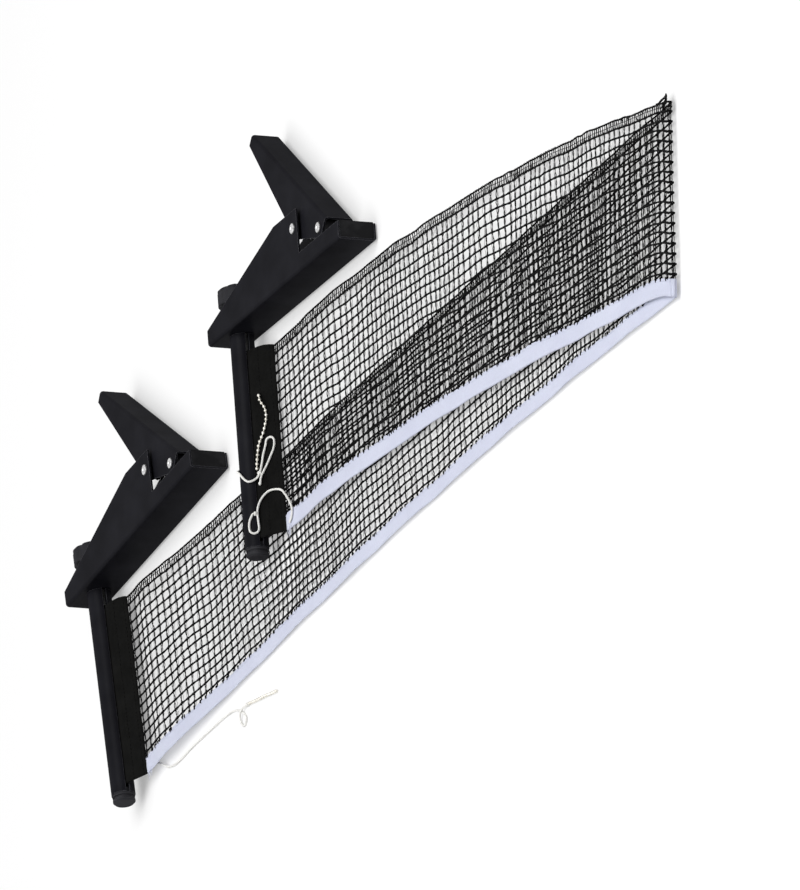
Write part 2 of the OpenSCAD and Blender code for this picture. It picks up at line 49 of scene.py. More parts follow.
MM = 0.001
SHEET_T = 1.6 * MM
POST_R = 9.5 * MM
NET_H = 152.5 * MM
NET_L = 1830 * MM
LEAD_L = 293 * MM  # by how much the far half is longer than the near one
HEM_W = 18 * MM
HEM_GAP = 16 * MM
HEM_LAP = 1.6 * MM  # how far a hem laps over its half of the net
BEAD_R = 3.6 * MM
TAPE_W = 14 * MM
SELVEDGE_W = 8 * MM
LAYER_GAP = 3.2 * MM  # from one layer's underside to the other's
NESTING = 0.3 * MM  # how far the near half's cords settle between the far half's
FAR_Z = 0.9 * MM  # the far half's middle plane where it lies flat
HEM_LIFT = 6.8 * MM  # how much higher it starts at its hem
HEM_FALL = 190 * MM  # the length over which it comes down
LAY = {"a": math.radians(21.13), "b": math.radians(14.05)}
FOLD_TURN = math.radians(-77.4)
BOW = {"a": (3 * MM, 16 * MM), "b": (22 * MM, 15 * MM)}  # of the selvedge and of the tape
PIVOT = (144.5 * MM, 37 * MM)
LEVER_TURN = math.radians(-41.6)
LEVER_DEPTH = 29 * MM  # from the lever's pivot to its outer face
NOSE_L = 41 * MM
NOSE_Y = 16.7 * MM
PIN_R = 3 * MM
BRACKET_W = 32 * MM
LEVER_W = 24 * MM
KNOB_Y = 24.5 * MM
KNOB_R = 17 * MM
KNOB_RIM = 12 * MM
KNOB_DOME = 5 * MM
KNOB_FLUTES = 8
FLUTE_R = 4 * MM
SPRING_WIRE = 2.2 * MM
SPRING_R = 6.2 * MM
SPRING_PITCH = 2.9 * MM
SPRING_CURLS = 4
SPRING_LEG = 56 * MM
SPRING_SHARED = 16  # steps of the coil, of about 8 degrees each
LEG_GAP = 0.3 * MM
CORD_D = 1.8 * MM
BALL_D = 2.8 * MM
BALL_PITCH = 3.6 * MM


# ---------------- places

def turned(angle, x, y):
    return (math.cos(angle) * x - math.sin(angle) * y, math.sin(angle) * x + math.cos(angle) * y)


class Clip:
    """A clip's own frame: x along its bracket to the jaw, y to its lever's side, z up."""

    def __init__(self, side):
        joint = next(j for j in frame["joints"] if j["name"] == f"swivel_{side}")
        self.x, self.y, self.mid_z = joint["pos_m"]
        self.turn = math.atan2(-joint["axis"][0], joint["axis"][1])
        self.matrix = Matrix.Translation((self.x, self.y, 0)) @ Matrix.Rotation(self.turn, 4, "Z")

    def place(self, x, y, z=0.0):
        return self.matrix @ Vector((x, y, z))


clips = {side: Clip(side) for side in "ab"}
HEM_X = POST_R + HEM_W
HALF_L = {"a": (NET_L - 2 * HEM_W + LEAD_L) / 2}
HALF_L["b"] = HALF_L["a"] - LEAD_L
HEM_MIDDLE = clips["a"].place(HEM_X, -HEM_GAP - NET_H / 2)
FOLD = np.array([HEM_MIDDLE.x + HALF_L["a"] * math.cos(LAY["a"]),
                 HEM_MIDDLE.y + HALF_L["a"] * math.sin(LAY["a"])])
FOLD_DIR = np.array([math.cos(FOLD_TURN), math.sin(FOLD_TURN)])


def waves(x, y, seed, low, high):
    """Height of a smooth surface over the floor that stays between two heights."""
    r = np.random.default_rng(seed)
    total = np.zeros(np.broadcast(x, y).shape)
    for wave_length in (0.21, 0.13, 0.083):
        way = r.uniform(-0.5, 0.5)
        along = x * math.cos(way) + y * math.sin(way)
        total = total + np.sin(2 * math.pi * along / wave_length + r.uniform(0, 6.28))
    return low + (high - low) * (0.5 + total / 6)


def gap_to_hem(side, x, y):
    """Distance in plan to the edge where a half is sewn to its hem."""
    low = clips[side].place(HEM_X, -HEM_GAP - NET_H)
    high = clips[side].place(HEM_X, -HEM_GAP)
    dx, dy = high.x - low.x, high.y - low.y
    k = np.clip(((x - low.x) * dx + (y - low.y) * dy) / (dx * dx + dy * dy), 0, 1)
    return np.hypot(x - low.x - k * dx, y - low.y - k * dy)


def eased(value, start, length):
    """0 before the start, rising smoothly to 1."""
    k = np.clip((value - start) / length, 0, 1)
    return k * k * (3 - 2 * k)


def lay_height(side, x, y):
    """Height of a half's middle plane over the floor: the near half lies on the far one.

    Next to the hems there are no waves, and both halves come down from the far half's hem.
    """
    from_a, from_b = gap_to_hem("a", x, y), gap_to_hem("b", x, y)
    clear = eased(from_b, 20 * MM, 70 * MM)
    free = clear * eased(from_a, 8 * MM, 34 * MM)
    far = FAR_Z + free * waves(x, y, 3, 1.7 * MM, 2.7 * MM)
    far = far + HEM_LIFT * clear * (1 - eased(from_a, 0, HEM_FALL))
    if side == "a":
        return far
    return far + LAYER_GAP - NESTING + free * waves(x, y, 11, 0, 1.4 * MM)


def net_points(side, s, t):
    """Points of a half. s runs from the hem to the fold and t from the selvedge to the tape."""
    s, t = np.broadcast_arrays(np.asarray(s, float), np.asarray(t, float))
    clip = clips[side]
    cos, sin = math.cos(clip.turn), math.sin(clip.turn)
    hem_y = -HEM_GAP - t * NET_H
    hx = clip.x + cos * HEM_X - sin * hem_y
    hy = clip.y + sin * HEM_X + cos * hem_y
    fx = FOLD[0] + (t - 0.5) * NET_H * FOLD_DIR[0]
    fy = FOLD[1] + (t - 0.5) * NET_H * FOLD_DIR[1]
    low, high = BOW[side]
    swell = 4 * s * (1 - s) * (low + t * (high - low))
    held = np.clip(np.minimum(s, 1 - s) * 12, 0, 1)
    length = HALF_L[side]
    ripple = held * MM * (
        0.55 * np.sin(s * length / 0.0172 + 2.2 * t + (0.6 if side == "a" else 2.1))
        + 0.85 * np.sin(s * length / 0.0311 - 3.0 * t + 1.3)
        + 0.32 * np.sin(s * length / 0.0094 + 6.5 * t))
    drift = held * MM * 1.1 * np.sin(s * length / 0.024 + 5.0 * t)
    across = swell + ripple * (0.35 + 0.65 * np.sin(math.pi * np.clip(t, 0, 1)) ** 0.8)
    if side == "b":  # it bulges a little just before the fold
        gap = (1 - s) * length / (34 * MM)
        across = across + 4.2 * MM * gap * np.exp(1 - gap) * np.clip(t * 6, 0, 1)
    x = (1 - s) * hx + s * fx - math.sin(LAY[side]) * across + math.cos(LAY[side]) * drift
    y = (1 - s) * hy + s * fy + math.cos(LAY[side]) * across + math.sin(LAY[side]) * drift
    return np.stack([x, y, lay_height(side, x, y)], axis=-1)


# ---------------- meshes

def new_object(name, mesh, material):
    obj = bpy.data.objects.new(name, mesh)
    bpy.context.scene.collection.objects.link(obj)
    mesh.polygons.foreach_set("use_smooth", [True] * len(mesh.polygons))
    if not mesh.materials:
        mesh.materials.append(material)
    return obj


def mesh_from(name, points, faces):
    mesh = bpy.data.meshes.new(name)
    mesh.from_pydata([tuple(p) for p in points], [], [tuple(f) for f in faces])
    mesh.update()
    return mesh


def ring_faces(rings, sides):
    """Faces of a closed tube whose points come ring by ring."""
    faces = [(i * sides + k, i * sides + (k + 1) % sides, (i + 1) * sides + (k + 1) % sides,
              (i + 1) * sides + k) for i in range(rings - 1) for k in range(sides)]
    last = (rings - 1) * sides
    return faces + [tuple(range(sides - 1, -1, -1)), tuple(last + k for k in range(sides))]


class Builder:
    """Gathers tubes, strips and lathed shapes into one mesh."""

    def __init__(self):
        self.points, self.faces, self.count = [], [], 0

    def add(self, points, faces):
        self.points.append(np.asarray(points, float).reshape(-1, 3))
        self.faces += [tuple(int(i) + self.count for i in f) for f in faces]
        self.count += len(self.points[-1])

    def tube(self, path, radius, sides, flat=1.0):
        """A closed tube along a path. flat squeezes its height."""
        path = np.asarray(path, float)
        n = len(path)
        ahead = np.gradient(path, axis=0)
        ahead /= np.maximum(np.linalg.norm(ahead, axis=1, keepdims=True), 1e-9)
        frames = carried_sides(ahead)
        up = np.cross(ahead, frames)
        angle = 2 * math.pi * np.arange(sides) / sides
        r = np.broadcast_to(np.asarray(radius, float), (n,))[:, None, None]
        ring = (np.cos(angle)[None, :, None] * frames[:, None, :]
                + flat * np.sin(angle)[None, :, None] * up[:, None, :])
        self.add(path[:, None, :] + r * ring, ring_faces(n, sides))

    def lathe(self, profile, place, sides=32, shape=None):
        """Turns a profile of (radius, height) round a matrix's z axis.

        shape gives the share of the radius at an angle and a row of the profile.
        """
        rows = []
        for j, (r, h) in enumerate(profile):
            for k in range(sides):
                a = 2 * math.pi * k / sides
                rr = r if shape is None else r * shape(a, j)
                rows.append(place @ Vector((rr * math.cos(a), rr * math.sin(a), h)))
        self.add([tuple(p) for p in rows], ring_faces(len(profile), sides))

    def slab(self, grid, thickness, puff=0.0):
        """A closed cloth strip from a grid of middle points, with its rim rounded by puff."""
        grid = np.asarray(grid, float)
        rows, cols = grid.shape[:2]
        half = np.full((rows, cols), thickness / 2)
        half[:, [0, -1]] *= 1 - puff
        half[[0, -1], :] *= 1 - puff
        normal = grid_normals(grid)
        top = grid + normal * half[..., None]
        low = grid - normal * half[..., None]
        size = rows * cols
        faces = []
        for i in range(rows - 1):
            for j in range(cols - 1):
                a, b = i * cols + j, i * cols + j + 1
                c, d = (i + 1) * cols + j + 1, (i + 1) * cols + j
                faces += [(a, b, c, d), (size + a, size + d, size + c, size + b)]
        rim = ([(0, j) for j in range(cols)] + [(i, cols - 1) for i in range(1, rows)]
               + [(rows - 1, j) for j in range(cols - 2, -1, -1)]
               + [(i, 0) for i in range(rows - 2, 0, -1)])
        for (i0, j0), (i1, j1) in zip(rim, rim[1:] + rim[:1]):
            a, b = i0 * cols + j0, i1 * cols + j1
            faces.append((b, a, size + a, size + b))
        self.add(np.concatenate([top.reshape(-1, 3), low.reshape(-1, 3)]), faces)

    def mesh(self, name):
        return mesh_from(name, np.concatenate(self.points), self.faces)


def carried_sides(ahead):
    """A side direction for each step of a path, carried along so that the tube doesn't twist."""
    side = np.cross(ahead[0], (0, 0, 1.0))
    if np.linalg.norm(side) < 0.3:
        side = np.cross(ahead[0], (1.0, 0, 0))
    sides = np.zeros_like(ahead)
    for i, d in enumerate(ahead):
        side = side - d * float(np.dot(side, d))
        side = side / max(np.linalg.norm(side), 1e-9)
        sides[i] = side
    return sides


def grid_normals(grid):
    du = np.gradient(grid, axis=0)
    dv = np.gradient(grid, axis=1)
    normal = np.cross(du, dv)
    normal /= np.maximum(np.linalg.norm(normal, axis=-1, keepdims=True), 1e-12)
    return normal * np.where(normal[..., 2:3] < 0, -1, 1)


def smoothed(points, steps):
    """Catmull-Rom points between a route's own, as in the CAD."""
    p = [np.array(q, float) for q in points]
    out = []
    for i in range(len(p) - 1):
        a, b, c, d = p[max(i - 1, 0)], p[i], p[i + 1], p[min(i + 2, len(p) - 1)]
        for k in range(steps):
            u = k / steps
            out.append(0.5 * (2 * b + (c - a) * u + (2 * a - 5 * b + 4 * c - d) * u * u
                              + (3 * b - a - 3 * c + d) * u ** 3))
    return np.array(out + [p[-1]])


def add_piece(name, mesh, material, body, slot, *stands_for):
    """Adds a piece that rides on a body, in place of the CAD objects that it stands for."""
    piece = new_object(name, mesh, material)
    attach(piece, body)
    if stands_for:
        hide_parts(*stands_for)
    return piece


# ---------------- materials

def map_range(tree, *limits):
    """A node that maps what lies between the first two limits to between the last two."""
    node = tree.nodes.new("ShaderNodeMapRange")
    for key, limit in zip(("From Min", "From Max", "To Min", "To Max"), limits):
        node.inputs[key].default_value = limit
    return node


class Surface:
    """A Principled material with helpers for its nodes."""

    def __init__(self, name, colour, roughness, metallic=0.0):
        self.material = bpy.data.materials.new(name)
        self.material.use_nodes = True
        self.tree = self.material.node_tree
        self.bsdf = self.tree.nodes["Principled BSDF"]
        self.put("Base Color", (*colour, 1))
        self.put("Roughness", roughness)
        self.put("Metallic", metallic)
        self.height = None
        self.coords = self.node("ShaderNodeTexCoord").outputs["Object"]

    def put(self, name, value):
        self.bsdf.inputs[name].default_value = value

    def node(self, kind, **values):
        node = self.tree.nodes.new(kind)
        for key, value in values.items():
            setattr(node, key, value)
        return node

    def link(self, a, b):
        self.tree.links.new(a, b)

    def mapped(self, turn, scale=(1, 1, 1)):
        """The object's own coordinates, turned and scaled."""
        mapping = self.node("ShaderNodeMapping")
        mapping.inputs["Rotation"].default_value = (0, 0, -turn)
        mapping.inputs["Scale"].default_value = scale
        self.link(self.coords, mapping.inputs["Vector"])
        return mapping.outputs["Vector"]

    def noise(self, scale, detail, vector=None):
        node = self.node("ShaderNodeTexNoise")
        node.inputs["Scale"].default_value = scale
        node.inputs["Detail"].default_value = detail
        self.link(vector if vector is not None else self.coords, node.inputs["Vector"])
        return node.outputs["Fac"]

    def wave(self, scale, vector, direction, distortion, detail_scale):
        node = self.node("ShaderNodeTexWave", bands_direction=direction)
        node.inputs["Scale"].default_value = scale
        node.inputs["Distortion"].default_value = distortion
        node.inputs["Detail Scale"].default_value = detail_scale
        self.link(vector, node.inputs["Vector"])
        return node.outputs["Fac"]

    def ramp(self, value, low, high, out_low=0.0, out_high=1.0):
        node = map_range(self.tree, low, high, out_low, out_high)
        self.link(value, node.inputs["Value"])
        return node.outputs["Result"]

    def maths(self, operation, a, b):
        node = self.node("ShaderNodeMath", operation=operation)
        for socket, value in zip(node.inputs, (a, b)):
            if isinstance(value, (int, float)):
                socket.default_value = value
            else:
                self.link(value, socket)
        return node.outputs["Value"]

    def mix(self, factor, colour_a, colour_b):
        node = self.node("ShaderNodeMix", data_type="RGBA")
        self.link(factor, node.inputs[0])
        for socket, colour in ((node.inputs[6], colour_a), (node.inputs[7], colour_b)):
            if isinstance(colour, tuple):
                socket.default_value = (*colour, 1)
            else:
                self.link(colour, socket)
        return node.outputs[2]

    def colour(self, factor, colour_a, colour_b):
        self.link(self.mix(factor, colour_a, colour_b), self.bsdf.inputs["Base Color"])

    def rough(self, output):
        self.link(output, self.bsdf.inputs["Roughness"])

    def vary_rough(self, scale, detail, low, high):
        self.rough(self.ramp(self.noise(scale, detail), 0.3, 0.7, low, high))

    def bump(self, height, distance, strength):
        node = self.node("ShaderNodeBump")
        node.inputs["Strength"].default_value = strength
        node.inputs["Distance"].default_value = distance
        self.link(height, node.inputs["Height"])
        if self.height is not None:
            self.link(self.height, node.inputs["Normal"])
        self.height = node.outputs["Normal"]
        self.link(self.height, self.bsdf.inputs["Normal"])
        self.link(self.height, self.bsdf.inputs["Coat Normal"])

    def satin(self, weight, roughness):
        """A thin lacquer's weak gloss, in place of the material's own."""
        self.put("Specular IOR Level", 0)
        self.put("Coat Weight", weight)
        self.put("Coat Roughness", roughness)

    def bevel(self, radius):
        node = self.node("ShaderNodeBevel", samples=6)
        node.inputs["Radius"].default_value = radius
        return node.outputs["Normal"]

    def soft_edges(self, radius):
        self.height = self.bevel(radius)
        self.link(self.height, self.bsdf.inputs["Normal"])

    def edge_mask(self, radius, low, high):
        """1 on sharp edges, 0 on flat faces."""
        dot = self.node("ShaderNodeVectorMath", operation="DOT_PRODUCT")
        self.link(self.bevel(radius), dot.inputs[0])
        self.link(self.node("ShaderNodeNewGeometry").outputs["Normal"], dot.inputs[1])
        return self.ramp(dot.outputs["Value"], high, low)


def black_paint():
    """Satin powder coat: orange peel, faint patches of rubbing, lighter edges of wear and painted
    highlight.
    """
    s = Surface("black_paint", (0.010, 0.010, 0.013), 0.42)
    s.satin(0.085, 0.38)
    s.soft_edges(0.0005)
    patches = s.ramp(s.noise(38, 4), 0.35, 0.75)
    scratch = s.ramp(s.noise(260, 3, s.mapped(0.44, (1, 0.06, 1))), 0.60, 0.72)
    # lighter grey on the edges: partly wear, partly a painted highlight of the sheet's lit edges
    worn_and_lit_edges = s.maths("MULTIPLY", s.edge_mask(0.0007, 0.80, 0.99),
                   s.ramp(s.noise(420, 3), 0.3, 0.62, 0.25, 0.9))
    coat = s.mix(patches, (0.0070, 0.0070, 0.0092), (0.0125, 0.0125, 0.0160))
    s.colour(worn_and_lit_edges, coat, (0.15, 0.15, 0.165))
    s.rough(s.maths("ADD", s.ramp(patches, 0, 1, 0.36, 0.50), s.maths("MULTIPLY", scratch, 0.10)))
    s.bump(s.noise(1500, 2), 0.00005, 0.5)
    return s.material


def black_plastic():
    """Moulded nylon with a fine spark-eroded grain."""
    s = Surface("black_plastic", (0.014, 0.014, 0.016), 0.5)
    s.satin(0.14, 0.45)
    s.soft_edges(0.0006)
    tone = s.ramp(s.noise(60, 3), 0.3, 0.7)
    # lighter grey on every edge: partly rubbing, partly a painted highlight of the lit edges
    rubbed_and_lit_edges = s.maths("MULTIPLY", s.edge_mask(0.0009, 0.82, 0.99), 0.55)
    moulded = s.mix(tone, (0.019, 0.019, 0.022), (0.031, 0.031, 0.035))
    s.colour(rubbed_and_lit_edges, moulded, (0.08, 0.08, 0.088))
    s.vary_rough(220, 3, 0.44, 0.62)
    s.bump(s.noise(2600, 2), 0.00006, 0.6)
    return s.material


def black_rubber():
    """Moulded rubber, dull and a little dusty."""
    s = Surface("black_rubber", (0.013, 0.013, 0.014), 0.8)
    s.satin(0.10, 0.6)
    s.soft_edges(0.0004)
    dust = s.ramp(s.noise(90, 4), 0.45, 0.8)
    s.colour(s.maths("MULTIPLY", dust, 0.7), (0.011, 0.011, 0.012), (0.034, 0.034, 0.036))
    s.vary_rough(300, 2, 0.66, 0.88)
    s.bump(s.noise(1900, 3), 0.00008, 0.6)
    return s.material


def bright_steel():
    """Plated steel with faint stains."""
    s = Surface("bright_steel", (0.66, 0.66, 0.67), 0.24, 1.0)
    s.soft_edges(0.0003)
    stain = s.ramp(s.noise(700, 4), 0.42, 0.75)
    s.colour(stain, (0.72, 0.72, 0.73), (0.40, 0.39, 0.37))
    s.vary_rough(900, 3, 0.17, 0.40)
    s.bump(s.noise(2400, 2), 0.00003, 0.4)
    return s.material


def dark_plate():
    """Blackened steel: the stud, and a rivet's head round its bright middle."""
    s = Surface("dark_plate", (0.05, 0.05, 0.052), 0.38, 0.9)
    s.colour(s.ramp(s.noise(900, 4), 0.4, 0.7), (0.035, 0.035, 0.038), (0.12, 0.12, 0.12))
    s.vary_rough(700, 3, 0.30, 0.5)
    s.bump(s.noise(2400, 2), 0.00003, 0.4)
    return s.material


def spring_steel():
    """Drawn wire, oiled and darkened in places."""
    s = Surface("spring_steel", (0.30, 0.30, 0.31), 0.32, 1.0)
    s.colour(s.ramp(s.noise(160, 4), 0.4, 0.7), (0.34, 0.34, 0.35), (0.16, 0.15, 0.145))
    s.vary_rough(500, 3, 0.26, 0.46)
    s.bump(s.noise(3000, 2), 0.00003, 0.5)
    return s.material


def net_cord(name, tone=1.0):
    """Black thread, rough with fibres."""
    s = Surface(name, (0.004, 0.004, 0.004), 0.88)
    s.put("Specular IOR Level", 0.07)
    fibre = s.noise(1400, 3)
    s.colour(s.ramp(fibre, 0.35, 0.7), (0.0014 * tone, 0.0014 * tone, 0.0015 * tone),
             (0.0060 * tone, 0.0060 * tone, 0.0063 * tone))
    s.vary_rough(420, 2, 0.74, 0.92)
    s.bump(fibre, 0.00035, 0.8)
    return s.material


def hem_cloth(turn):
    """Plain-woven black webbing, brushed matt."""
    s = Surface(f"hem_cloth_{round(math.degrees(turn))}", (0.012, 0.012, 0.011), 0.88)
    s.put("Specular IOR Level", 0.03)
    s.put("Sheen Weight", 0.015)
    s.put("Sheen Roughness", 0.6)
    along = s.mapped(turn)
    warp = s.wave(330, along, "X", 0.8, 3)
    weft = s.wave(300, along, "Y", 0.8, 3)
    weave = s.maths("MAXIMUM", warp, weft)
    mottle = s.ramp(s.noise(75, 4), 0.35, 0.75)
    # darker where the weave is low: painted shade between the threads
    s.colour(mottle, s.mix(weave, (0.0024, 0.0024, 0.0023), (0.0058, 0.0058, 0.0055)),
             s.mix(weave, (0.0038, 0.0038, 0.0036), (0.0095, 0.0095, 0.0091)))
    s.vary_rough(200, 2, 0.80, 0.95)
    s.bump(weave, 0.00022, 0.7)
    s.bump(s.noise(260, 3), 0.0005, 0.35)
    return s.material


def tape_cloth(turn):
    """Bluish white cotton tape with a visible weave and faint grey handling marks."""
    s = Surface(f"tape_cloth_{round(math.degrees(turn))}", (0.74, 0.76, 0.90), 0.86)
    s.put("Sheen Weight", 0.25)
    s.put("Sheen Roughness", 0.5)
    along = s.mapped(turn)
    warp = s.wave(300, along, "X", 0.6, 2)
    weft = s.wave(360, along, "Y", 0.6, 2)
    weave = s.maths("MAXIMUM", warp, weft)
    cloud = s.ramp(s.noise(24, 5, along), 0.35, 0.72)
    fleck = s.ramp(s.noise(620, 3), 0.40, 0.72)
    threads = s.mix(cloud, (0.665, 0.695, 0.825), (0.610, 0.635, 0.775))
    # the darker colour between the threads is painted shade in the weave's hollows
    shaded_gaps = s.mix(cloud, (0.55, 0.575, 0.71), (0.51, 0.535, 0.67))
    s.colour(s.maths("MULTIPLY", fleck, 0.4), s.mix(weave, shaded_gaps, threads), (0.53, 0.545, 0.67))
    s.vary_rough(180, 2, 0.80, 0.94)
    s.bump(weave, 0.00020, 0.7)
    s.bump(s.noise(150, 3), 0.0006, 0.3)
    return s.material


def white_cord():
    """Braided cotton cord, nearly white."""
    s = Surface("white_cord", (0.92, 0.915, 0.89), 0.78)
    s.put("Sheen Weight", 0.2)
    braid = s.node("ShaderNodeTexVoronoi")
    braid.inputs["Scale"].default_value = 1500
    s.link(s.coords, braid.inputs["Vector"])
    from_strand = braid.outputs["Distance"]
    # darker away from each strand's middle: painted shade in the braid's grooves
    s.colour(s.ramp(from_strand, 0.15, 0.75), (0.95, 0.945, 0.92), (0.84, 0.83, 0.79))
    s.vary_rough(700, 2, 0.70, 0.88)
    s.bump(s.ramp(from_strand, 0, 1, 1, 0), 0.0003, 0.8)
    return s.material


def chain_metal():
    """Nickel-plated balls, yellowed where the plating is thin."""
    s = Surface("chain_metal", (0.78, 0.76, 0.70), 0.3, 0.85)
    s.colour(s.ramp(s.noise(380, 3), 0.4, 0.7), (0.86, 0.84, 0.78), (0.58, 0.55, 0.48))
    s.vary_rough(800, 2, 0.22, 0.42)
    s.bump(s.noise(2200, 2), 0.00004, 0.4)
    return s.material


PAINT, PLASTIC, RUBBER = black_paint(), black_plastic(), black_rubber()
STEEL, PLATED, SPRING = bright_steel(), dark_plate(), spring_steel()
NET = net_cord("net_cord")
BOLD_NET = net_cord("net_edge_cord", 0.85)
HEM = {side: hem_cloth(clips[side].turn) for side in "ab"}
TAPE = {side: tape_cloth(LAY[side]) for side in "ab"}
CORD, CHAIN = white_cord(), chain_metal()

for kind, material in (("bracket", PAINT), ("lever", PAINT), ("post", PAINT), ("jaw_pad", RUBBER),
                       ("jaw_roller", RUBBER), ("post_cap", PLASTIC), ("post_stud", PLATED),
                       ("knob_spacer", PLASTIC)):
    for side in "ab":
        for material_slot in nodes[f"{kind}_{side}"].material_slots:
            material_slot.material = material


# ---------------- camera, floor and light

PICTURE_H = 890
SENSOR_W = 36
CAMERA_RISE = math.radians(23.22)
CAMERA_ASIDE = math.radians(-1.55)
CAMERA_ROLL = math.radians(3.57)
CAMERA_AWAY = 28.0
CAMERA_SCALE = 1300.0  # pixels to a metre at the object
CAMERA_AIM = (16.1, 14.5)  # pixels from the frame's origin to the picture's middle
FLOOR_REACH = 6.0
FLOOR_GLOW = 0.35  # share of the floor's own light where it is looked at


def join(tree, *pairs):
    for output, socket in pairs:
        tree.links.new(output, socket)


def add_camera():
    """Looks along -X, low over the floor, from so far away that almost nothing converges."""
    rise, aside, roll = CAMERA_RISE, CAMERA_ASIDE, CAMERA_ROLL
    back = Vector((math.cos(rise) * math.cos(aside), math.cos(rise) * math.sin(aside), math.sin(rise)))
    level = Vector((0, 1, 0)).cross(back).normalized()
    upright = back.cross(level).normalized()
    right = math.cos(roll) * level + math.sin(roll) * upright
    up = math.cos(roll) * upright - math.sin(roll) * level
    camera = bpy.data.cameras.new("camera")
    camera.sensor_fit = "AUTO"
    camera.sensor_width = SENSOR_W
    camera.lens = SENSOR_W * CAMERA_AWAY * CAMERA_SCALE / PICTURE_H
    camera.clip_end = 100
    obj = bpy.data.objects.new("camera", camera)
    bpy.context.scene.collection.objects.link(obj)
    aim = right * (CAMERA_AIM[0] / CAMERA_SCALE) + up * (CAMERA_AIM[1] / CAMERA_SCALE)
    turn = Matrix((right, up, back)).transposed().to_4x4()
    obj.matrix_world = Matrix.Translation(aim + back * CAMERA_AWAY) @ turn
    bpy.context.scene.camera = obj


def add_light(name, place, aim, size, watts):
    light = bpy.data.lights.new(name, "AREA")
    light.shape, light.size, light.energy = "DISK", size, watts
    obj = bpy.data.objects.new(name, light)
    bpy.context.scene.collection.objects.link(obj)
    way = Vector(place) - Vector(aim)
    obj.matrix_world = Matrix.Translation(place) @ way.to_track_quat("Z", "Y").to_matrix().to_4x4()


def background_rays(tree):
    """1 for a ray from the camera, from a shine or through something clear, and 0 for the rest."""
    path = tree.nodes.new("ShaderNodeLightPath")
    either, any_of = tree.nodes.new("ShaderNodeMath"), tree.nodes.new("ShaderNodeMath")
    either.operation = any_of.operation = "MAXIMUM"
    join(tree, (path.outputs["Is Camera Ray"], either.inputs[0]),
         (path.outputs["Is Glossy Ray"], either.inputs[1]),
         (either.outputs[0], any_of.inputs[0]),
         (path.outputs["Is Transmission Ray"], any_of.inputs[1]))
    return any_of.outputs[0]


def add_floor():
    """A pale floor that the camera sees nearly white, with the object's soft shadow."""
    corners = [(x * FLOOR_REACH, y * FLOOR_REACH, 0) for x, y in ((-1, -1), (1, -1), (1, 1), (-1, 1))]
    floor = mesh_from("floor", corners, [(0, 1, 2, 3)])
    pale = Surface("floor", (0.93, 0.93, 0.93), 0.9)
    pale.put("Specular IOR Level", 0.1)
    pale.colour(pale.noise(3, 2), (0.93, 0.93, 0.93), (0.945, 0.945, 0.945))
    glow, blend = pale.node("ShaderNodeEmission"), pale.node("ShaderNodeMixShader")
    join(pale.tree, (pale.maths("MULTIPLY", background_rays(pale.tree), FLOOR_GLOW), blend.inputs[0]),
         (pale.bsdf.outputs["BSDF"], blend.inputs[1]),
         (glow.outputs["Emission"], blend.inputs[2]),
         (blend.outputs["Shader"], pale.tree.nodes["Material Output"].inputs["Surface"]))
    new_object("floor", floor, pale.material)


def add_sky():
    """White where it is looked at. Its light on the object comes mostly from high up."""
    world = bpy.data.worlds.new("studio")
    bpy.context.scene.world = world
    world.use_nodes = True
    tree = world.node_tree
    background = tree.nodes["Background"]
    background.inputs["Color"].default_value = (1, 1, 1, 1)
    coords = tree.nodes.new("ShaderNodeTexCoord")
    split = tree.nodes.new("ShaderNodeSeparateXYZ")
    rise = map_range(tree, 0.48, 0.92, 0.05, 1.2)
    seen = tree.nodes.new("ShaderNodeMix")
    seen.data_type = "FLOAT"
    seen.inputs[3].default_value = 0.95
    join(tree, (coords.outputs["Generated"], split.inputs["Vector"]),
         (split.outputs["Z"], rise.inputs["Value"]),
         (background_rays(tree), seen.inputs[0]),
         (rise.outputs["Result"], seen.inputs[2]),
         (seen.outputs[0], background.inputs["Strength"]))


bpy.context.scene.view_settings.view_transform = "Standard"
add_camera()
add_floor()
add_sky()
add_light("key", (1.0, 1.2, 2.6), (0, 0, 0), 2.2, 40)
add_light("fill", (0.4, -1.3, 2.8), (0, 0, 0), 2.8, 29)


# ---------------- cords and chains

def laid(side, route, steps):
    """A route in millimetres in a clip's own frame, as a smooth path in the scene."""
    return smoothed([clips[side].place(x * MM, y * MM, z * MM) for x, y, z in route], steps)


def add_cord(name, side, route, knots):
    """A cord along its route, with its knots as (place, size) in millimetres."""
    path = laid(side, route, 7)
    b = Builder()
    b.tube(path, CORD_D / 2 * (1 + 0.05 * np.sin(np.arange(len(path)) * 1.9)), 10)
    cord = add_piece(f"{name}_cord", b.mesh(name), CORD, ROOT, "white_cord", name)
    b = Builder()
    for place, size in knots:
        centre = np.array(clips[side].place(*[c * MM for c in place]))
        b.tube(knot_path(centre, size * MM), CORD_D * 0.42, 8)
    ties = add_piece(f"{name}_knots", b.mesh(name), CORD, ROOT, "white_cord")


def knot_path(centre, size):
    """A trefoil: the shape of a small overhand knot."""
    a = np.linspace(0, 2 * math.pi, 46)
    return centre + size / 3 * np.stack([np.sin(a) + 2 * np.sin(2 * a), np.cos(a) - 2 * np.cos(2 * a),
                                         -1.1 * np.sin(3 * a)], axis=-1)


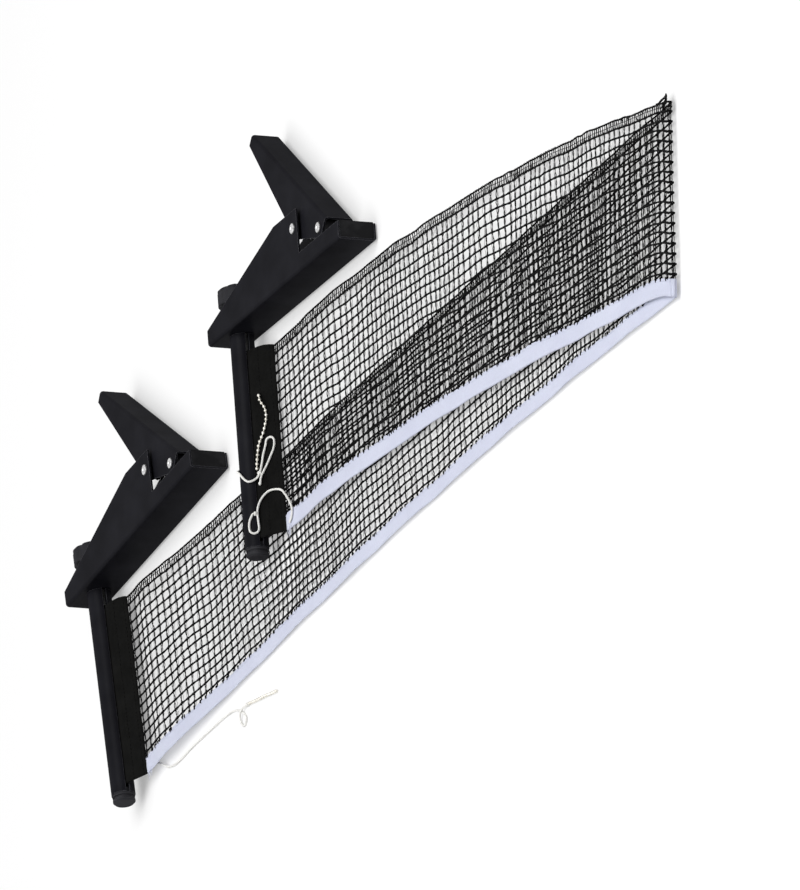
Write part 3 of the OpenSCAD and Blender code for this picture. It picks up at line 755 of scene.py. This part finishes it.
def add_chain(name, side, route):
    """Balls at an even pitch along a route, with a link between each two."""
    path = laid(side, route, 8)
    runs = np.concatenate([[0], np.cumsum(np.linalg.norm(np.diff(path, axis=0), axis=1))])
    balls = int((runs[-1] - BALL_D) / BALL_PITCH) + 1
    r = BALL_D / 2
    stops = np.linspace(r, runs[-1] - r, balls)
    places = np.stack([np.interp(stops, runs, path[:, k]) for k in range(3)], axis=-1)
    b = Builder()
    for i, place in enumerate(places):
        ahead = places[min(i + 1, balls - 1)] - places[max(i - 1, 0)]
        turn = Vector(ahead).to_track_quat("Z", "Y").to_matrix().to_4x4()
        profile = [(r * math.sin(a), -r * math.cos(a)) for a in np.linspace(0.16, math.pi - 0.16, 11)]
        b.lathe(profile, Matrix.Translation(place) @ turn, 16)
        if i:
            b.tube([places[i - 1], places[i]], 0.34 * r, 8)
    chain = add_piece(f"{name}_balls", b.mesh(name), CHAIN, ROOT, "chain_metal", name)


TENSION_B = [(38, -165, 5.5), (42, -162, 5.6), (44.3, -157.6, 5.7), (43.5, -152.5, 5.7),
             (39.3, -146.5, 5.7), (33.6, -139.8, 5.9), (29.5, -135.6, 6.5), (25, -133.4, 8.4),
             (19.5, -133.2, 12.6), (14.8, -136.9, 16.3), (11.8, -142.4, 18.8), (10.6, -148.5, 19.8),
             (10.5, -153.6, 19.6), (10.45, -157.8, 19.3), (10.4, -161.2, 19.2), (10, -163.55, 19.9),
             (9, -164.85, 21.5), (7.8, -164.85, 23.4), (6.85, -163.55, 25), (6.5, -161.2, 25.7),
             (6.7, -157.6, 25.7), (7.4, -154.2, 25.2), (8.6, -151, 24), (9.4, -149.2, 22.9)]
POST_CORD_B = [(3, -101, 6.6), (-2, -100.5, 6.7), (-7, -101.5, 9), (-10.4, -103.5, 14),
               (-10.5, -106, 19.5), (-7.7, -109, 25.2), (-3, -111.5, 28), (0, -113.5, 28.3),
               (3.1, -116.7, 28), (5.8, -120.3, 26.7), (8.3, -122.8, 24.4), (11.2, -121.8, 20.4),
               (13.7, -118.2, 17.4), (15.7, -110.8, 15.6), (17.2, -103.3, 14.4), (18.9, -97, 13),
               (19.6, -93.7, 12.4), (20.2, -91.5, 12), (21.65, -90.2, 10.85), (23.45, -90.2, 9.45),
               (24.9, -91.5, 8.3), (25.5, -93.7, 7.9), (25.4, -97, 8.1), (24.2, -101, 8.9),
               (21.4, -107.3, 11.1), (18.8, -112.8, 13.2), (16.4, -117.2, 15.2),
               (14.7, -121.4, 16.6), (14, -126.2, 17.2)]
CHAIN_B = [(12.6, -114.5, 18.7), (13, -109, 18.3), (13.6, -104, 17.8), (14.4, -99, 17.2),
           (15.2, -94, 16.5), (16.8, -90, 15.2), (18.6, -86, 13.9), (20.5, -79.3, 12.3),
           (21.6, -72.7, 11.4), (20.9, -65.5, 12), (18.1, -58.8, 14.2), (17.4, -53.1, 14.8)]
TENSION_A = [(37, -163, 2.3), (42, -165.5, 2.3), (48, -170, 2.3), (55, -174.5, 1.3), (66, -177.5, 1),
             (80, -178.5, 1), (94, -178.5, 1), (108, -179, 1), (122, -180, 1), (136, -181, 1),
             (150, -182, 1), (164, -183, 1), (176, -184.6, 1), (184, -186.5, 1), (190, -188.8, 1),
             (196, -192, 1), (201, -196.5, 1), (204, -201, 1), (202.5, -205, 1), (198.5, -206, 1),
             (195.3, -203, 1.2), (195.2, -199.3, 1.9), (197.3, -196.2, 2.8), (200, -194.2, 3.05),
             (203.5, -192.9, 2.5), (207.5, -192.8, 1.6), (211, -193.3, 1.1)]
CHAIN_A = [(213.2, -193.8, 1.45), (219, -195.2, 1.45), (225, -196.9, 1.45), (231, -198.4, 1.45),
           (237, -199.8, 1.45), (243, -201.2, 1.45), (249, -202.8, 1.45), (255, -204.5, 1.45),
           (261, -206, 1.45), (266, -207.3, 1.45)]

add_cord("tension_cord_a", "a", TENSION_A, [((211, -193.3, 1.9), 1.4)])
add_chain("ball_chain_a", "a", CHAIN_A)
add_cord("tension_cord_b", "b", TENSION_B, [((10, -149.2, 21.6), 1.2)])
add_cord("post_cord_b", "b", POST_CORD_B, [((14.3, -117.4, 17.4), 1.7), ((14, -125.6, 17.4), 0.9)])
add_chain("ball_chain_b", "b", CHAIN_B)


# ---------------- knobs, rivets and springs

def knob_mesh(clip):
    """Fluted knob with rounded lobes, a soft rim and a dimple in its dome."""
    centre = KNOB_R + FLUTE_R / 2
    soft = 0.9 * MM  # how far a lobe's corners are rounded

    def lobe(angle, depth):
        """Share of the full radius at an angle, where the flutes have a share of their depth."""
        away = (angle / (2 * math.pi) * KNOB_FLUTES + 0.5) % 1 - 0.5
        away = abs(away) * 2 * math.pi / KNOB_FLUTES
        across = centre * math.sin(away)
        if across >= FLUTE_R:
            cut = KNOB_R * 1.2
        else:
            cut = centre * math.cos(away) - math.sqrt(FLUTE_R ** 2 - across ** 2)
        h = max(soft - abs(cut - KNOB_R), 0) / soft
        r = min(cut, KNOB_R) - h * h * soft / 4
        return 1 - depth * (1 - r / KNOB_R)

    turn = math.pi / KNOB_FLUTES
    rows = [(4.3 * MM, 0, 0), (6 * MM, 0, 0), (KNOB_R - 2 * MM, 0, 0.9),
            (KNOB_R - 0.9 * MM, 0.12 * MM, 1), (KNOB_R - 0.3 * MM, 0.5 * MM, 1),
            (KNOB_R, 1.2 * MM, 1), (KNOB_R, 4 * MM, 1), (KNOB_R, 8 * MM, 1),
            (KNOB_R, KNOB_RIM - 0.6 * MM, 1), (KNOB_R - 0.25 * MM, KNOB_RIM + 0.1 * MM, 1)]
    for a in np.radians([14, 24, 34, 45, 56, 66, 75, 82]):
        r = KNOB_R * math.cos(a) + KNOB_R / 4 * (1 - math.cos(a) - math.sin(a))
        rows.append((r, KNOB_RIM + KNOB_DOME * math.sin(a), 1 - 0.75 * (a / math.radians(82)) ** 2))
    top = KNOB_RIM + KNOB_DOME
    rows += [(1.4 * MM, top - 0.25 * MM, 0), (0.3 * MM, top - 0.5 * MM, 0)]
    place = clip.matrix @ Matrix.Translation((0, KNOB_Y, clip.mid_z))
    place = place @ Matrix.Rotation(-math.pi / 2, 4, "X")
    b = Builder()
    b.lathe([(r, h) for r, h, _ in rows], place, 128, lambda a, j: lobe(a + turn, rows[j][2]))
    return b.mesh("knob")


def rivet_mesh(place, grip):
    """A rivet: a domed head with a drilled, bright centre at each side."""
    sides, bright = 40, 6  # bright rings of a head
    half = grip / 2
    head = [(0.15, 0.75), (1.05, 0.75), (1.3, 0.86), (1.45, 1.25), (1.75, 1.4), (2.5, 1.4),
            (3.3, 1.28), (3.95, 0.98), (4.4, 0.55), (4.6, 0.15), (4.55, 0.0)]
    rows = [(r * MM, -half - h * MM) for r, h in head] + [(PIN_R, -half), (PIN_R, half)]
    rows += [(r * MM, half + h * MM) for r, h in reversed(head)]
    b = Builder()
    b.lathe(rows, place, sides)
    mesh = b.mesh("rivet")
    mesh.materials.append(STEEL)
    mesh.materials.append(PLATED)
    for face in mesh.polygons:
        ring = face.index // sides
        face.material_index = 1 if bright <= ring < len(rows) - bright - 2 else 0
    return mesh


def spring_paths():
    """The coil with the leg on the bracket, and the leg on the lever.

    The lever's leg has the coil's last part too, so that the wire stays whole when the lever turns.
    """
    foot_drop = PIVOT[1] - SHEET_T - SPRING_WIRE / 2 - LEG_GAP
    plate_rise = LEVER_DEPTH - SHEET_T - SPRING_WIRE / 2 - LEG_GAP
    foot = (-math.sqrt(SPRING_LEG ** 2 - foot_drop ** 2), -foot_drop)
    hand = turned(LEVER_TURN, -math.sqrt(SPRING_LEG ** 2 - plate_rise ** 2), plate_rise)
    lean = math.acos(SPRING_R / SPRING_LEG)
    start = math.atan2(foot[1], foot[0]) + lean
    end = math.atan2(hand[1], hand[0]) - lean
    sweep = 2 * math.pi * SPRING_CURLS + (end - start) % (2 * math.pi)
    rise = SPRING_PITCH * sweep / (2 * math.pi)
    a = np.linspace(0, 1, 190)
    coil = np.stack([SPRING_R * np.cos(start + sweep * a), SPRING_R * np.sin(start + sweep * a),
                     rise * (a - 0.5)], axis=-1)
    k = np.linspace(0, 1, 24)[:-1, None]
    foot3, hand3 = np.array([*foot, -rise / 2]), np.array([*hand, rise / 2])
    return (np.concatenate([foot3 + k * (coil[0] - foot3), coil]),
            np.concatenate([coil[-SPRING_SHARED:], hand3 + k[::-1] * (coil[-1] - hand3)]))


def add_knob(side):
    add_piece(f"knob_{side}_fluted", knob_mesh(clips[side]), PLASTIC, f"knob_{side}", "black_plastic",
              f"knob_{side}")


def add_rivet(pin, side, body, place, grip):
    add_piece(f"{pin}_{side}_rivet", rivet_mesh(place, grip), STEEL, f"{body}_{side}", "bright_steel",
              f"{pin}_{side}")


def add_spring(side, pivot):
    """The coil rides on the bracket and stands for the CAD's spring. The leg rides on the lever."""
    stands_for = {"coil": [f"lever_spring_{side}"], "leg": []}
    for part, body, path in zip(("coil", "leg"), ("bracket", "lever"), spring_paths()):
        b = Builder()
        b.tube([tuple(pivot @ Vector(p)) for p in path], SPRING_WIRE / 2, 12)
        add_piece(f"lever_spring_{side}_{part}", b.mesh("spring"), SPRING, f"{body}_{side}",
                  "spring_steel", *stands_for[part])


for side, clip in clips.items():
    pivot = clip.matrix @ Matrix.Translation((*PIVOT, clip.mid_z))
    nose_x = math.sqrt(NOSE_L ** 2 - NOSE_Y ** 2)
    nose = pivot @ Matrix.Rotation(LEVER_TURN, 4, "Z") @ Matrix.Translation((nose_x, NOSE_Y, 0))
    add_knob(side)
    add_rivet("pivot_pin", side, "bracket", pivot, BRACKET_W)
    add_rivet("roller_pin", side, "lever", nose, LEVER_W)
    add_spring(side, pivot)


# ---------------- net

SEAM_W = 3.8 * MM  # between the net's last row and the tape
MESH_T0 = SELVEDGE_W / NET_H  # shares of the net's height
TAPE_T = 1 - TAPE_W / NET_H
MESH_T1 = TAPE_T - SEAM_W / NET_H
SELVEDGE_CORDS = (0.9 * MM / NET_H, MESH_T0 * 0.55)
ROWS = 16
COLUMN_STEP = 9.6 * MM
ROW_R = 0.88 * MM
STRAND_R = 0.40 * MM
HATCH_STEP = 1.85 * MM
TAPE_THICK = 1.3 * MM
STITCH_L = 2.6 * MM
STITCH_GAP = 1.0 * MM
END_SEAMS = (7.5 * MM, 10.5 * MM)  # across the tape, from its end at the hem
FOLD_REACH = 2.6 * MM
TAPE_FOLD_REACH = 2.4 * MM
FOLD_OUT = np.array([-FOLD_DIR[1], FOLD_DIR[0], 0])
HEM_THICK = 1.5 * MM
TAB_THICK = 1.7 * MM
HEM_STITCHES = 44


def draws(side, seed):
    """Random numbers for one half, by the far half's seed."""
    return np.random.default_rng(seed + (side == "b"))


def column_places(side):
    """Where the columns stand along a half; their pitch drifts as the net is stretched."""
    cells = round(HALF_L[side] / COLUMN_STEP)
    r = draws(side, 31)
    s = (np.arange(cells) + 0.5) / cells
    drift = 2 * math.pi * 2.2
    ends = math.sin(drift * 0.1) * (1 - s) - math.sin(drift * 0.9) * s
    s = s + 0.15 / drift * (np.sin(drift * (s - 0.1)) + ends)
    return s + r.normal(0, 0.5 * MM, cells) / HALF_L[side]


def row_path(side, t, seed, per_cell=4):
    """Path of one bold cord from the hem to the fold, with the small waves of a knotted net.

    Also gives each point's count of columns, which is whole at a knot.
    """
    places = column_places(side)
    cells = len(places)
    s = np.linspace(0, 1, cells * per_cell + 1)
    r = np.random.default_rng(seed)
    slow = np.interp(s, np.linspace(0, 1, cells // 3), r.normal(0, 0.34 * MM, cells // 3))
    knots = np.interp(s, places, r.normal(0, 0.24 * MM, cells))
    jitter = (slow + knots) * np.clip(np.minimum(s, 1 - s) * 40, 0, 1)
    return net_points(side, s, t + jitter / NET_H), np.interp(s, places, np.arange(cells))


def add_net(side):
    """Bold rows with two twisted strands across them at each column, and a stray thread."""
    b = Builder()
    for j in range(ROWS + 1):
        t = MESH_T0 + (MESH_T1 - MESH_T0) * j / ROWS
        path, count = row_path(side, t, 100 + j + (50 if side == "b" else 0))
        swell = 1 + 0.20 * np.cos(2 * math.pi * count) + 0.06 * np.sin(count * 7 + j)
        b.tube(path, ROW_R * swell, 5, 0.9)
    r = draws(side, 5)
    steps = ROWS * 4 + 1
    t = np.linspace(MESH_T0 - 0.008, TAPE_T + 0.004, steps)
    thin = t[::2]
    places = column_places(side)
    for place in places:
        lean = np.interp(np.linspace(0, 1, steps), np.linspace(0, 1, 7), r.normal(0, 0.55 * MM, 7))
        zigzag = 0.40 * MM * np.sin(np.arange(steps) * 2 * math.pi / 8 + r.uniform(0, 6.28))
        twist = np.arange(steps) * math.pi / 3.0 + r.uniform(0, 6.28)
        apart = np.interp(np.arange(steps), np.arange(0, steps + 4, 4),
                          r.uniform(0.25, 1.0, ROWS + 2) ** 2 * 1.3)
        for strand, thick in ((0, 1.0), (math.pi, 0.75)):
            off = apart * MM * np.cos(twist + strand) + lean + zigzag + r.normal(0, 0.08 * MM, steps)
            path = net_points(side, np.clip(place + off / HALF_L[side], 0, 1), t)
            path[:, 2] += 0.34 * MM * np.sin(twist + strand)
            b.tube(path, STRAND_R * thick, 3)
        stray = lean[::2] + r.normal(0, 0.7 * MM, len(thin)) + r.choice([-1, 1]) * 2.4 * MM
        b.tube(net_points(side, np.clip(place + stray / HALF_L[side], 0, 1), thin), 0.14 * MM, 3)
    mesh = add_piece(f"net_mesh_{side}_knots", b.mesh("net"), NET, ROOT, "net_cord", f"net_mesh_{side}")


def add_selvedge(side):
    """A bold cord and a thin one, with close thread across them."""
    b = Builder()
    for k, (t, cord_r) in enumerate(zip(SELVEDGE_CORDS, (0.78 * MM, 0.28 * MM))):
        path, along = row_path(side, t, 300 + k + (7 if side == "b" else 0))
        b.tube(path, cord_r * (1 + 0.16 * np.sin(along * 2 * math.pi * 1.9)), 6, 0.85)
    r = np.random.default_rng(41)
    count = round(HALF_L[side] / HATCH_STEP)
    t = np.linspace(0.002, MESH_T0 + 0.004, 6)
    for i in range(count):
        place = (i + 0.5) / count + r.normal(0, 0.3 * MM) / HALF_L[side]
        lean = r.normal(0, 0.9 * MM) / HALF_L[side]
        path = net_points(side, np.clip(place + lean * np.linspace(-1, 1, 6), 0, 1), t)
        path[:, 2] += 0.25 * MM * (-1) ** i
        b.tube(path, r.uniform(0.28, 0.46) * MM, 3)
    add_piece(f"selvedge_{side}_cords", b.mesh("selvedge"), BOLD_NET, ROOT, "net_cord",
              f"selvedge_{side}")


def sew_tape(b, side, r):
    """A row of stitches along the tape and two seams across its end."""
    for i in range(int(HALF_L[side] / (STITCH_L + STITCH_GAP))):
        s0 = (i + 0.5) * (STITCH_L + STITCH_GAP) / HALF_L[side]
        stitch = net_points(side, s0 + np.array([0, 0.5, 1]) * STITCH_L / HALF_L[side],
                            TAPE_T + 0.17 * (1 - TAPE_T) + r.normal(0, 0.0004))
        stitch[:, 2] += np.array([0.62, 0.82, 0.62]) * MM
        b.tube(stitch, 0.22 * MM, 4)
    for seam in END_SEAMS:
        line = net_points(side, seam / HALF_L[side], np.linspace(TAPE_T + 0.004, 0.996, 12))
        line[:, 2] += 0.74 * MM
        b.tube(line, 0.20 * MM, 4)


def add_tape(side):
    """Folded cotton tape, stitched near its inner edge and frayed at its end."""
    n = round(HALF_L[side] / (3.5 * MM))
    r = draws(side, 51)
    s = np.linspace(0, 1, n)
    across = np.array([0, 0.04, 0.14, 0.32, 0.55, 0.78, 0.93, 1.0])
    t = TAPE_T + across * (1 - TAPE_T)
    edge = np.interp(s, np.linspace(0, 1, 80), r.normal(0, 0.35 * MM, 80)) / NET_H
    grid_t = t[None, :] + edge[:, None] * (1 - across)[None, :]
    grid = net_points(side, s[:, None], grid_t)
    grid[..., 2] += 0.35 * MM * np.sin(s[:, None] * 61 + across[None, :] * 3) * across[None, :]
    b = Builder()
    b.slab(grid, TAPE_THICK, 0.55)
    sew_tape(b, side, r)
    for i in range(7):  # the frayed end's threads
        k = np.linspace(0, 1, 6)
        at_s = (2.0 + 1.1 * i + (r.normal(0, 2.2) * k ** 1.4)) * MM / HALF_L[side]
        at_t = 0.985 + (0.012 + r.uniform(3, 7.5) * MM / NET_H) * k
        b.tube(net_points(side, np.clip(at_s, 0, 1), at_t), np.linspace(0.22, 0.10, 6) * MM, 4)
    tape = add_piece(f"tape_{side}_cloth", b.mesh("tape"), TAPE[side], ROOT, "white_tape",
                     f"tape_{side}")


def add_tufts(side):
    """Ends of the net's strands, caught by the tape's seam."""
    b = Builder()
    r = draws(side, 61)
    for place in column_places(side):
        for _ in range(3):
            reach = r.uniform(0.9, 3.4) * MM
            lean = r.normal(0, 0.8 * MM)
            k = np.linspace(0, 1, 4)
            at_s = place + (r.normal(0, 1.3 * MM) + lean * k) / HALF_L[side]
            path = net_points(side, np.clip(at_s, 0, 1), TAPE_T + (-0.8 * MM + reach * k) / NET_H)
            path[:, 2] += 0.95 * MM
            b.tube(path, np.array([0.50, 0.56, 0.52, 0.30]) * MM, 4)
    add_piece(f"tape_{side}_tufts", b.mesh("tufts"), NET, ROOT, "net_cord")


def bend(t, reach, steps=9):
    """Round from the far half to the near one, at one share of the height or at several."""
    low, high = net_points("a", 1.0, t), net_points("b", 1.0, t)
    a = np.linspace(0, math.pi, steps).reshape(-1, *[1] * low.ndim)
    middle = (low + high) / 2
    return middle + (low - middle) * np.cos(a) + FOLD_OUT * reach * np.sin(a)


def add_corner_ends(b):
    """Loose ends where the fold meets the selvedge."""
    corner = net_points("b", 1.0, 0.0)
    up = -np.array([FOLD_DIR[0], FOLD_DIR[1], 0])
    for rise, reach, t in ((5.6, 15, 0), (4.0, 11, 0.03), (2.6, 18, 0), (5.0, 7, 0.05)):
        k = np.linspace(0, 1, 8)
        path = net_points("b", 1 - reach * MM * (1 - k) / HALF_L["b"], t * (1 - k) ** 0.5)
        path = path + up * rise * MM * k[:, None] ** 1.3
        path[:, 2] += 0.5 * MM * np.sin(7 * k + rise)
        b.tube(path, 0.55 * MM, 5)
    b.tube([corner + up * h * MM + FOLD_OUT * 0.6 * MM * math.sin(h) for h in (5.8, 4, 2, 0, -2)],
           0.7 * MM, 5)


def add_fold():
    """The net turns round here: each cord of the far half bends back into the near half."""
    black, white = Builder(), Builder()
    r = np.random.default_rng(71)
    for j in range(ROWS + 1):
        t = MESH_T0 + (MESH_T1 - MESH_T0) * j / ROWS
        black.tube(bend(t, FOLD_REACH + r.uniform(-0.2, 0.3) * MM), ROW_R * 1.1, 6)
    for t in SELVEDGE_CORDS:
        black.tube(bend(t, FOLD_REACH), 0.8 * MM, 6)
    add_corner_ends(black)
    t = np.linspace(0.004, TAPE_T + 0.004, 60)
    low, high = net_points("a", 1.0, t), net_points("b", 1.0, t)
    for share in (0.35, 0.7):  # two cords that run along the fold
        reach = TAPE_FOLD_REACH * math.sin(math.pi * share) + 0.25 * MM * np.sin(t * 110)
        black.tube(low + (high - low) * share + FOLD_OUT * reach[:, None], 0.34 * MM, 5)
    white.slab(bend(np.linspace(TAPE_T, 1, 8), TAPE_FOLD_REACH, 11), 0.9 * MM, 0.3)
    add_piece("net_fold_cords", black.mesh("fold"), BOLD_NET, ROOT, "net_cord", "net_fold")
    add_piece("net_fold_tape", white.mesh("fold_tape"), TAPE["a"], ROOT, "white_tape", "net_fold")


def hem_grid(side, across):
    """Middle points of the webbing, which comes down from the post's slot to the net's edge."""
    clip = clips[side]
    r = draws(side, 81)
    y = np.linspace(0, 1, 72)
    ragged = np.interp(y, np.linspace(0, 1, 34), r.normal(0, 0.35 * MM, 34))
    first = POST_R - 1 * MM  # inside the post's slot
    edge = net_points(side, 0.0, y)[:, 2]
    grid = np.zeros((len(y), len(across), 3))
    for j, k in enumerate(across):
        x = first + k * (HEM_X - first + HEM_LAP) + ragged * k
        ease = max(0.0, min(1.0, (first + k * (HEM_X - first) - POST_R) / HEM_W))
        z = clip.mid_z * (1 - ease) + (edge + 0.1 * MM) * ease
        z = z - 0.30 * MM * (0.5 + 0.5 * np.sin(y * 23 + k * 4)) * math.sin(math.pi * k)
        end = 2.2 * MM * (1 - (2 * k - 1) ** 2) * np.clip(1 - y / 0.04, 0, 1)
        yy = -HEM_GAP - y * NET_H + end
        grid[:, j] = [clip.place(*point) for point in zip(x, yy, z)]
    return grid


def on_grid(grid, across, down, k):
    """The point of a hem's grid at shares of its height and of its width."""
    at = down * (len(grid) - 1)
    row = min(int(at), len(grid) - 2)
    line = grid[row] * (1 - (at - row)) + grid[row + 1] * (at - row)
    return np.array([np.interp(k, across, line[:, c]) for c in range(3)])


def add_hem(side):
    """Black webbing round a bead in the post, with a tab in the slot and two rows of stitches."""
    clip = clips[side]
    across = np.array([0.0, 0.04, 0.2, 0.42, 0.64, 0.84, 0.96, 1.0])
    grid = hem_grid(side, across)
    b = Builder()
    b.slab(grid, HEM_THICK, 0.35)
    bead = [clip.place(0, -HEM_GAP - v * NET_H, clip.mid_z) for v in np.linspace(0, 1, 30)]
    b.tube(bead, BEAD_R, 20)
    tab = np.array([[clip.place(v * MM, -HEM_GAP - w * NET_H, clip.mid_z) for v in (2.8, 6, 9)]
                    for w in np.linspace(0, 1, 30)])
    b.slab(tab, TAB_THICK)
    for k in (0.42, 0.86):
        for i in range(HEM_STITCHES):
            start = (i + 0.3) / HEM_STITCHES
            b.tube([on_grid(grid, across, start + step, k) + (0, 0, 0.98 * MM)
                    for step in (0, 0.006, 0.012)], 0.26 * MM, 4)
    hem = add_piece(f"net_hem_{side}_cloth", b.mesh("hem"), HEM[side], ROOT, "black_fabric",
                    f"net_hem_{side}")


for side in "ab":
    add_net(side)
    add_selvedge(side)
    add_tape(side)
    add_tufts(side)
    add_hem(side)
add_fold()
